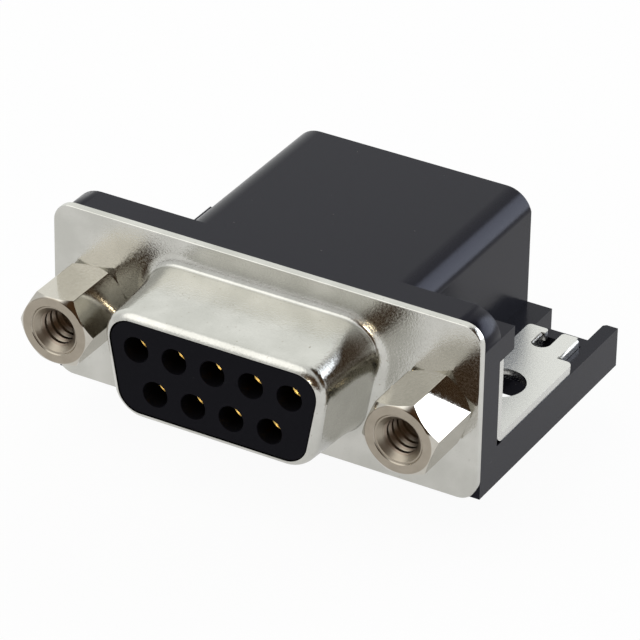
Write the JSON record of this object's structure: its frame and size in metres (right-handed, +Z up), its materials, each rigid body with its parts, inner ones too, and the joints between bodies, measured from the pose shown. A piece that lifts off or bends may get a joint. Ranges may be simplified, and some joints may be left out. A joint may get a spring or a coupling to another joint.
{
  "type": "d-sub connector",
  "caption": "Right-angle D-sub socket for a circuit board: drawn metal shell, hex jack sockets, black moulded hood, board-lock brackets and spring contacts bent down into the board.",
  "frame": {"origin": "On the board plane, at the front face of the steel flange, midway between the jack sockets.", "axes": "+X runs along the flange, +Y runs back over the board, +Z is up from the board. The plug arrives along +Y."},
  "size_m": [0.031, 0.0256, 0.0158],
  "materials": {
    "nickel_shell": "satin nickel plate on drawn steel, with fine grain",
    "bright_nickel": "bright nickel plate on turned bar",
    "tin_bracket": "matt tin plate on punched sheet",
    "hood_plastic": "black glass-filled moulding with a soft gloss",
    "insulator_plastic": "black glass-filled moulding",
    "gold_contact": "thin gold over brass"
  },
  "bodies": {
    "root": {"front_shell": "nickel_shell", "front_insulator": "insulator_plastic", "rear_insulator": "insulator_plastic", "hood": "hood_plastic", "tail_comb": "insulator_plastic", "contact_1": "gold_contact", "contact_2": "gold_contact", "contact_3": "gold_contact", "contact_4": "gold_contact", "contact_5": "gold_contact", "contact_6": "gold_contact", "contact_7": "gold_contact", "contact_8": "gold_contact", "contact_9": "gold_contact", "left_bracket": "tin_bracket", "left_rivet": "tin_bracket", "left_jack_socket": "bright_nickel", "right_bracket": "tin_bracket", "right_rivet": "tin_bracket", "right_jack_socket": "bright_nickel"}
  },
  "joints": []
}
